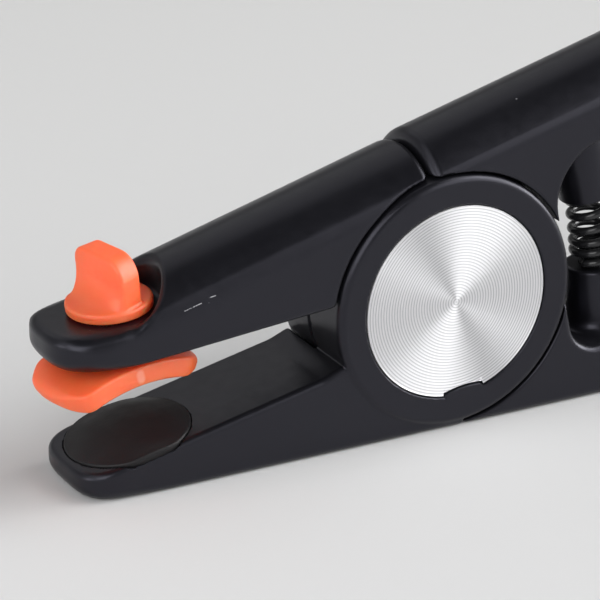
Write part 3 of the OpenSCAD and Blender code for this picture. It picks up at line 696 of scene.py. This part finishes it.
def lower_handle_field(x, y, z):
    """The flat bar, less the open space above it and the bosses' room, and the spring's post."""
    late = smooth((x - HANDLE_END + 26) / 24)
    bar = both(handle_plan(x, y, HANDLE_END), -PIVOT[2] + bend(x) - z,
               1.6 + 1.4 * smooth((x - 50) / 30) + 3 * late)
    lip = 25.5 - 0.217 * (z + 3.4)
    top = -16.5 + swell(x, HANDLE_END) + bend(x)
    bar = without(bar, both(lip - x, top - z, 5.0), 1.5 + 1.5 * smooth((x - 50) / 30) + 3 * late)
    bar = both(bar, z + 3.4, 0.5)
    bar = both(bar, 3.0 - x, 0.6)
    bar = both(bar, ARC_R - np.hypot(x, z), 0.5)
    along, above = post_frame(x, z)
    radial = np.hypot(along, y)
    post = both(np.maximum(radial - POST_R, -15 - above), above, 0.7)
    bar = without(either(bar, post, 2.5), np.maximum(radial - 2.83, -6 - above))
    return np.minimum(bar, hub_plate(x, y, z, (-66, -32)))


lower_handle = new_piece(
    "lower_handle_casting",
    skin(lower_handle_field, (-19, -12.5, -27.5), (150.5, 12.5, 19), 0.48),
    body_black, LEVER_B, ["lower_handle"])

# %% [markdown]
# ## Surfaces of two parameters
# The smaller pieces are turned or drawn shapes, so they are grids: rings of points, each ring
# one step further along a profile. A ring that has shrunk to the axis is closed by a fan to
# one point.

# %% Closed grids


def closed_grid(rings):
    """Quads between neighbouring rings and a fan at each end; faces are turned outwards."""
    rings = np.asarray(rings, float)
    rows, size = rings.shape[:2]
    points = np.concatenate([rings.reshape(-1, 3), [rings[0].mean(0)], [rings[-1].mean(0)]])
    i, j = np.meshgrid(np.arange(rows - 1), np.arange(size), indexing="ij")
    k = (j + 1) % size
    quads = np.stack([i * size + j, i * size + k, (i + 1) * size + k, (i + 1) * size + j], -1)
    quads = quads.reshape(-1, 4)
    a = np.arange(size)
    b = (a + 1) % size
    start = np.column_stack([b, a, np.full(size, rows * size)])
    end = np.column_stack([a, b, np.full(size, rows * size + 1)]) + [
        [(rows - 1) * size, (rows - 1) * size, 0]]
    triangles = np.concatenate([quads[:, [0, 1, 2]], quads[:, [0, 2, 3]], start, end])
    corner = points[triangles]
    volume = np.einsum("ij,ij->i", corner[:, 0], np.cross(corner[:, 1], corner[:, 2])).sum()
    if volume < 0:
        quads, start, end = quads[:, ::-1], start[:, ::-1], end[:, ::-1]
    return points, [*quads.tolist(), *start.tolist(), *end.tolist()]


def rounded_path(stops, steps=6):
    """A profile of straight runs: each stop is x, y and the radius that rounds its corner."""
    stops = np.asarray(stops, float)
    path = [stops[0, :2]]
    for before, here, after in zip(stops, stops[1:], stops[2:]):
        a, b = before[:2] - here[:2], after[:2] - here[:2]
        a, b = a / np.linalg.norm(a), b / np.linalg.norm(b)
        half = np.arccos(np.clip(a @ b, -1, 1)) / 2
        if here[2] == 0 or half > 1.55:
            path.append(here[:2])
            continue
        middle = here[:2] + (a + b) / np.linalg.norm(a + b) * here[2] / np.sin(half)
        first, last = (here[:2] + d * here[2] / np.tan(half) - middle for d in (a, b))
        turn = np.arctan2(first[0] * last[1] - first[1] * last[0], first @ last)
        for t in np.linspace(0, turn, steps + 1):
            path.append(middle + [first[0] * np.cos(t) - first[1] * np.sin(t),
                                  first[0] * np.sin(t) + first[1] * np.cos(t)])
    path.append(stops[-1, :2])
    return np.array(path)


# %% [markdown]
# ## Spun cover discs
# A disc is turned on a lathe with a round-nosed tool, which leaves shallow hollow rings with
# fine ridges between them. The rings give the bright and dark wedges that move with the
# light, so they are modelled: height is a parabola inside each ring, repeated every 0.6 mm.
# The edge follows the notch that the boss's key fills.

# %% Cover discs
RING_PITCH, RING_DEPTH, DISC_EDGE = 0.6, 0.022, 19.8


def disc_edge(angle):
    """The disc's radius at an angle: a circle, cut back along the key's inner edge."""
    turn = (angle - KEY_ANGLE + np.pi) % (2 * np.pi) - np.pi
    notch = key_edge(KEY_RADIUS * np.tan(turn)) / np.cos(turn)
    return np.where(abs(turn) < np.arcsin((KEY_HALF + 0.15) / 19), notch, DISC_EDGE)


def cover_disc(side):
    """Rings from the middle of the face out to the edge, round it and back behind."""
    half = np.arcsin((KEY_HALF + 0.15) / 19)
    angle = np.unique(np.concatenate([
        np.linspace(0, 2 * np.pi, 240, endpoint=False),
        KEY_ANGLE + 2 * np.pi + np.array([-half - 1e-4, -half + 1e-4, half - 1e-4, half + 1e-4])]))
    edge = disc_edge(angle)
    inner = np.arange(0.1, 17.6, RING_PITCH / 6)
    radius = np.concatenate([
        np.repeat(inner[:, None], len(angle), 1),
        17.7 + (edge - 0.15 - 17.7) * np.linspace(0, 1, 14)[:, None]])
    ring = (radius / RING_PITCH) % 1
    face = FLOOR_DEPTH + 1.2 + RING_DEPTH * ((2 * ring - 1) ** 2 - 1)
    rim = rounded_path([(0.15, 0, 0), (0, 0, 0.12), (0, 1.2, 0.12), (0.4, 1.2, 0)], 3)
    radius = np.concatenate([radius, edge - rim[:, :1], [edge * 0.5, edge * 0.02]])
    depth = np.concatenate([face, np.repeat(FLOOR_DEPTH + 1.2 - rim[:, 1:], len(angle), 1),
                            np.full((2, len(angle)), FLOOR_DEPTH + 0.0)])
    return np.stack([radius * np.cos(angle), side * depth, radius * np.sin(angle)], -1)


near_disc = new_piece("near_cover_disc", closed_grid(cover_disc(-1)), spun, LEVER_A,
                      ["near_disc"])
far_disc = new_piece("far_cover_disc", closed_grid(cover_disc(1)), spun, LEVER_B,
                     ["far_disc"])

# %% [markdown]
# ## Rubber pad
# The pad is a shallow dome whose sides are cut flush with the jaw. Its grid runs from the
# middle of the dome outwards: the edge is a circle of 25 mm cut by two straight sides, the
# height is part of a ball, and the last rings roll over the rim and down into the seat.

# %% Pad


def rubber_pad():
    """Height is 0.3 mm plus a ball's cap of 2.4 mm; the rim is a quarter round of 0.5 mm."""
    angle = np.linspace(0, 2 * np.pi, 144, endpoint=False)
    side = np.maximum(abs(np.sin(angle)), 1e-6)
    edge = (12.48 ** -40.0 + (11.82 / side) ** -40.0) ** (-1 / 40)
    ball = (12.5 ** 2 + 2.4 ** 2) / 4.8
    share = np.linspace(0.01, 1, 40)[:, None]
    radius = share * (edge - 0.5)
    height = 2.7 - ball + np.sqrt(ball ** 2 - radius ** 2)
    turn = np.radians(np.linspace(15, 90, 6))[:, None]
    radius = np.concatenate([radius, edge - 0.5 + 0.5 * np.sin(turn), edge[None], edge[None],
                             0.5 * edge[None], 0.02 * edge[None]])
    rim = height[-1] - 0.5 + 0.5 * np.cos(turn)
    flat = np.full_like(edge, -PAD_SEAT)
    height = np.concatenate([height, rim, [rim[-1] - 0.1, flat, flat, flat]])
    along, across = radius * np.cos(angle), radius * np.sin(angle)
    c, s = np.cos(LOWER_SLOPE), np.sin(LOWER_SLOPE)
    return np.stack([-PAD_REACH + along * c - height * s, across,
                     lower_top(-PAD_REACH) + along * s + height * c], -1)


pad = new_piece("rubber_pad", closed_grid(rubber_pad()), rubber_black, LEVER_A,
                ["jaw_pad"])

# %% [markdown]
# ## Swivel head
# The knob is one moulding: a thumb wing that runs into its round flange through hollow feet,
# and a shaft below. Its surfaces melt into each other, so it is a field like the castings,
# only finer. The anvil is a grid again: a plate with two flat sides and round ends, bent to
# an arch.

# %% Knob
HEAD_TURN = np.radians(12)
SHAFT_END = 7.6 / np.cos(UPPER_SLOPE) + 1.3
FLANGE_TOP, WING_FRONT, WING_BACK, WING_TOP, WING_FOOT = 2.35, 2.2, 2.9, 9.7, 5.4


def head_frame(x, y, z):
    """Along the wing's normal, across the wing, and height above the jaw's flat."""
    along, above = tip_frame(x, z)
    return (along * np.cos(HEAD_TURN) + y * np.sin(HEAD_TURN),
            y * np.cos(HEAD_TURN) - along * np.sin(HEAD_TURN), above)


def from_head(points):
    """Turns points of the head's own frame back into millimetres from the pivot."""
    a, b, h = np.moveaxis(np.asarray(points, float), -1, 0)
    along, y = (a * np.cos(HEAD_TURN) - b * np.sin(HEAD_TURN),
                a * np.sin(HEAD_TURN) + b * np.cos(HEAD_TURN))
    c, s = np.cos(UPPER_SLOPE), np.sin(UPPER_SLOPE)
    return np.stack([-KNOB_REACH + along * c - h * s, y, TIP_TOP + along * s + h * c], -1)


def knob_field(x, y, z):
    """Wing, flange and shaft. The wing's front sweeps out to the flange's rim by a quarter of
    an ellipse, its back meets the flange at a small fillet, and one shoulder is rounder."""
    a, b, h = head_frame(x, y, z)
    radial = np.hypot(a, b)
    lift = h - FLANGE_TOP
    room = np.maximum(np.sqrt(np.maximum(8.3 ** 2 - b ** 2, 0)) - WING_FRONT, 0.4)
    lean = np.clip(1 - lift / WING_FOOT, 0, 1)
    front = -a - WING_FRONT - room * (1 - np.sqrt(1 - lean ** 2))
    front = front * np.sqrt(1 - 0.85 * lean ** 2)
    near_end = (0.22 * a - b - 7.45) / 1.024
    rim = np.maximum(both(b - 7, lift - WING_TOP, 2.7), both(near_end, lift - WING_TOP, 4.6))
    wing = both(both(np.maximum(front, a - WING_BACK), rim, 0.75), radial - 8.3, 0.4)
    wing = np.maximum(wing, -0.5 - lift)
    flange = both(both(radial - 8.4, lift, 0.6), 0.4 - h, 0.4)
    shaft = np.maximum(radial - 3.8, np.maximum(h - 1, -SHAFT_END - h))
    square = np.maximum(np.maximum(abs(a), abs(b)) - 2.5,
                        np.maximum(h + SHAFT_END - 1, -SHAFT_END - 1.1 - h))
    bore = np.maximum(radial - 1.52, h + SHAFT_END - 6.2)
    return without(np.minimum(either(wing, flange, 0.6), np.minimum(shaft, square)), bore)


knob = new_piece("thumb_knob", skin(knob_field, (-79, -9, -4), (-59, 9, 22), 0.24),
                 orange, HEAD, ["knob"])

# %% Anvil
ANVIL_LONG, ANVIL_END, ANVIL_HALF = 15.6, 20.5, 9.5
ANVIL_T, ANVIL_RISE, ANVIL_LEAN, CORNERS = 4.0, 3.4, np.radians(3.9), (1.2, 3.6)


def anvil_outline(angle):
    """The distance to the edge, found by halving: two flat sides and two ends that are arcs
    of 20.5 mm, with two crisp corners and two round ones between them."""
    corner = np.where(np.sin(2 * angle) > 0, *CORNERS)
    low, high = np.zeros_like(angle), np.full_like(angle, 22.0)
    for _ in range(30):
        radius = (low + high) / 2
        along, across = abs(radius * np.cos(angle)), abs(radius * np.sin(angle))
        end = np.hypot(along + ANVIL_END - ANVIL_LONG, across) - ANVIL_END
        outside = both(end, across - ANVIL_HALF, corner) > 0
        low, high = np.where(outside, low, radius), np.where(outside, radius, high)
    return np.stack([radius * np.cos(angle), radius * np.sin(angle)], -1)


def anvil_plate():
    """The outline shrinks to the screw's recess on both faces and is inset by the rim, whose
    radius is 0.6 mm, and 1.7 mm round the ends away from the crisp corners. The arch lowers it by a
    circle's drop, and the whole plate leans on its screw."""
    angle = np.linspace(0, 2 * np.pi, 320, endpoint=False)
    edge = anvil_outline(angle)
    along = np.roll(edge, -1, 0) - np.roll(edge, 1, 0)
    out = np.stack([along[:, 1], -along[:, 0]], -1) / np.linalg.norm(along, axis=1)[:, None]
    circle = np.stack([np.cos(angle), np.sin(angle)], -1)
    away = smooth((0.35 - out[:, 0] * out[:, 1]) / 0.35)
    rim = 0.6 + 1.1 * smooth((abs(out[:, 0]) - 0.2) / 0.5) * away
    inset = edge - rim[:, None] * out
    share = np.linspace(0, 1, 18)[:, None, None]
    plan = inset * share + 3.0 * circle * (1 - share)
    turn = np.radians(np.linspace(0, 180, 16))[1:-1, None]
    round_edge = inset + (rim * np.sin(turn))[..., None] * out
    half = ANVIL_T / 2
    level_rim = (half - rim) * np.sign(np.cos(turn)) + rim * np.cos(turn)
    rings = np.concatenate([[0.05 * circle], plan, round_edge, plan[::-1], [2.98 * circle],
                            [0.05 * circle]])
    flat = np.ones((19, len(angle)))
    level = np.concatenate([half * flat, level_rim, -half * flat[:18], (0.9 - half) * flat[:2]])
    bend = (ANVIL_LONG ** 2 + ANVIL_RISE ** 2) / (2 * ANVIL_RISE) + half
    lean = np.arcsin(rings[..., 0] / bend)
    drop = bend - (bend + level) * np.cos(lean)
    across = (bend + level) * np.sin(lean)
    along, height = across, half - drop - ANVIL_T
    c, s = np.cos(ANVIL_LEAN), np.sin(ANVIL_LEAN)
    turned_along, turned_height = along * c + height * s, height * c - along * s
    return from_head(np.stack([turned_along, rings[..., 1], turned_height - SHAFT_END], -1))


anvil = new_piece("arched_anvil", closed_grid(anvil_plate()), orange, HEAD,
                  ["anvil"])

# %% [markdown]
# ## Return spring, cup and pin
# The spring sits between a cup on the upper handle and a post on the lower one. Its wire is a
# circle carried along a helix, and the helix winds round a curved middle line that leaves the
# post square and enters the cup square. Two curls lie closed on the post, three stand open
# and the last closes in the cup.

# %% Return spring
WIRE_R, SPRING_R = 0.85, 4.05
LOW_CURLS, OPEN_CURLS, CUP_CURLS, CLOSED_PITCH, END_LIFT = 2, 3, 1, 2.22, 2.0


def up_along(angle):
    return np.array([-np.sin(angle), 0, np.cos(angle)])


SPRING_LOW = np.array([POST_X, 0, POST_TOP])
SPRING_HIGH = np.array([CUP_X, 0, CUP_Z]) + CUP_DEEP * up_along(HANDLE_SLOPE)
SPRING_LENGTH = np.linalg.norm(SPRING_HIGH - SPRING_LOW)
SPRING_BEND = SPRING_HIGH - (SPRING_LENGTH / 2 / np.cos((HANDLE_SLOPE - POST_LEAN) / 2)
                             * up_along(HANDLE_SLOPE))


def middle_line(t):
    """A quadratic curve through the two ends, and its direction."""
    t = t[:, None]
    place = ((1 - t) ** 2 * SPRING_LOW + 2 * t * (1 - t) * SPRING_BEND + t ** 2 * SPRING_HIGH)
    way = (1 - t) * (SPRING_BEND - SPRING_LOW) + t * (SPRING_HIGH - SPRING_BEND)
    return place, way / np.linalg.norm(way, axis=1, keepdims=True)


def spring_wire():
    """The helix turns once a curl; it climbs 2.22 mm a curl where closed, more where open."""
    open_length = SPRING_LENGTH - 2 * END_LIFT - (LOW_CURLS + CUP_CURLS) * CLOSED_PITCH
    curls = np.linspace(-0.42, LOW_CURLS + OPEN_CURLS + CUP_CURLS + 0.42, 290)
    opened = np.clip(curls - LOW_CURLS, 0, OPEN_CURLS)
    climb = (curls - opened) * CLOSED_PITCH + opened * open_length / OPEN_CURLS
    place, way = middle_line((END_LIFT + climb) / SPRING_LENGTH)
    side = np.stack([way[:, 2], 0 * curls, -way[:, 0]], -1)
    turn = 2 * np.pi * curls[:, None]
    out = np.cos(turn) * side + np.sin(turn) * [0, 1, 0]
    line = place + SPRING_R * out
    run = np.gradient(line, axis=0)
    run /= np.linalg.norm(run, axis=1, keepdims=True)
    out -= (out * run).sum(1, keepdims=True) * run
    out /= np.linalg.norm(out, axis=1, keepdims=True)
    over = np.cross(run, out)
    a = np.linspace(0, 2 * np.pi, 18, endpoint=False)[None, :, None]
    return line[:, None] + WIRE_R * (np.cos(a) * out[:, None] + np.sin(a) * over[:, None])


spring = new_piece("return_spring_wire", closed_grid(spring_wire()), spring_black, None,
                   ["return_spring"])
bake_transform(spring)

# %% Spring cup
CUP_LENGTH = (26.8 + CUP_X * np.tan(HANDLE_SLOPE) - 7.6 / np.cos(HANDLE_SLOPE) - CUP_Z) * np.cos(
    HANDLE_SLOPE) + 2.4


def turned(profile, size=96):
    """A profile of radius and height, turned round the cup's axis."""
    angle = np.linspace(0, 2 * np.pi, size, endpoint=False)
    along = profile[:, :1] * np.cos(angle)
    height = profile[:, 1:] + 0 * along
    c, s = np.cos(HANDLE_SLOPE), np.sin(HANDLE_SLOPE)
    return np.stack([CUP_X + along * c - height * s, profile[:, :1] * np.sin(angle),
                     CUP_Z + along * s + height * c], -1)


cup_profile = rounded_path([(0.05, CUP_DEEP, 0), (5.2, CUP_DEEP, 0.5), (5.2, 0, 0.35),
                            (6.0, 0, 0.4), (6.0, CUP_LENGTH, 0.2), (0.05, CUP_LENGTH, 0)])
cup = new_piece("spring_cup_turned", closed_grid(turned(cup_profile)), body_black, LEVER_A,
                ["spring_cup"])

# %% [markdown]
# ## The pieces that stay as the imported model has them
# The bolt, nut, washers, bush and screws are plain turned parts that sit inside the bosses,
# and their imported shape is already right. They only need their own finishes.

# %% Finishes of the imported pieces
finishes = {"near_hub_screws": steel, "far_hub_screws": steel, "pivot_bolt": steel,
            "head_washer": steel, "nut_washer": steel, "pivot_nut": steel,
            "pivot_bush": bronze, "thrust_washer": washer_white, "swivel_sleeve": bronze,
            "friction_ring": rubber_black, "anvil_screw": steel, "spring_guide": spring_black}
for node, finish in finishes.items():
    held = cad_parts[node]
    if held.material_slots:
        held.material_slots[0].material = finish
    else:
        held.data.materials.append(finish)
print("packed pieces with a finish:", len(finishes))

# %% [markdown]
# ## Floor and light
# The picture was taken on a pale sweep under soft lamps. The floor is a pale grey with a painted
# shade that darkens it towards the back, and it keeps the tool's shadow. Wide soft lamps stand where
# the highlights on the boss's edge, on the handle's back and on the spun disc say they were. The
# surround is a pale band round the horizon that fades upwards, which the coat mirrors along the
# edges of its rounded backs. What the camera itself sees beyond the floor has the floor's tone.

# %% Floor
floor_finish = Finish("pale_floor", Roughness=0.8, Specular_IOR_Level=0.0)
# Painted shade: the floor's colour darkens towards the back, and a faint noise moves where that starts.
depth = floor_finish.add("ShaderNodeSeparateXYZ", Vector=floor_finish.place).outputs["Y"]
depth = floor_finish.maths("ADD", depth, floor_finish.ramp(floor_finish.noise(3, 1), 0, 1, 0, 0.1))
floor_finish.fill(floor_finish.shader, {
    "Base Color": floor_finish.mix(floor_finish.ramp(depth, -0.15, 0.40, 0, 1),
                                   (0.650, 0.650, 0.655), (0.565, 0.565, 0.560))})
floor_mesh = bpy.data.meshes.new("floor")
floor_mesh.from_pydata([(x, y, -0.0001) for x, y in ((-2, -2), (2, -2), (2, 2), (-2, 2))],
                       [], [(0, 1, 2, 3)])
floor_mesh.materials.append(floor_finish.made)
floor = bpy.data.objects.new("floor", floor_mesh)
bpy.context.scene.collection.objects.link(floor)

# %% Lamps
SURROUND = 0.48
world = bpy.data.worlds.new("studio")
bpy.context.scene.world = world
world.use_nodes = True
tree = world.node_tree
place = tree.nodes.new("ShaderNodeTexCoord")
height = tree.nodes.new("ShaderNodeSeparateXYZ")
tree.links.new(place.outputs["Generated"], height.inputs[0])
fade = tree.nodes.new("ShaderNodeMapRange")
fade.interpolation_type = "SMOOTHSTEP"
for name, number in (("From Min", 0.0), ("From Max", 0.42), ("To Min", 1.0), ("To Max", 0.0)):
    fade.inputs[name].default_value = number
tree.links.new(height.outputs["Z"], fade.inputs["Value"])
tree.links.new(fade.outputs["Result"], tree.nodes["Background"].inputs["Color"])
tree.nodes["Background"].inputs["Strength"].default_value = SURROUND
backdrop = tree.nodes.new("ShaderNodeBackground")
backdrop.inputs["Color"].default_value = (0.64, 0.64, 0.64, 1)
either_one = tree.nodes.new("ShaderNodeMixShader")
seen = tree.nodes.new("ShaderNodeLightPath").outputs["Is Camera Ray"]
for index, output in enumerate((seen, tree.nodes["Background"].outputs[0], backdrop.outputs[0])):
    tree.links.new(output, either_one.inputs[index])
tree.links.new(either_one.outputs[0], tree.nodes["World Output"].inputs["Surface"])


def lamp(name, azimuth, elevation, size, strength, distance=4.4):
    """A square soft lamp that looks at the pivot; azimuth 0 is the camera's side, -Y."""
    light = bpy.data.lights.new(name, "AREA")
    light.shape, light.size, light.energy = "SQUARE", size, strength
    a, e = np.radians([azimuth, elevation])
    back = np.array([np.sin(a) * np.cos(e), -np.cos(a) * np.cos(e), np.sin(e)])
    side = np.array([np.cos(a), np.sin(a), 0])
    turn = np.column_stack([side, np.cross(back, side), back])
    made = bpy.data.objects.new(name, light)
    bpy.context.scene.collection.objects.link(made)
    made.visible_camera = False
    made.matrix_world = Matrix([[*turn[i], (distance * back)[i]] for i in range(3)]
                               + [[0, 0, 0, 1]])
    return made


lamp("right_lamp", 80, 30, 3.2, 96)
lamp("high_right_lamp", 75, 48, 2.8, 64)
lamp("low_right_lamp", 80, 8, 2.4, 118)
lamp("front_right_lamp", 40, 30, 3.2, 83)
lamp("front_left_lamp", -45, 30, 3.2, 99)
lamp("left_lamp", -90, 44, 3.2, 34)
lamp("low_left_lamp", -90, 8, 2.4, 53)
lamp("back_left_lamp", -140, 30, 3.2, 10)
lamp("back_lamp", 180, 46, 3.6, 22)
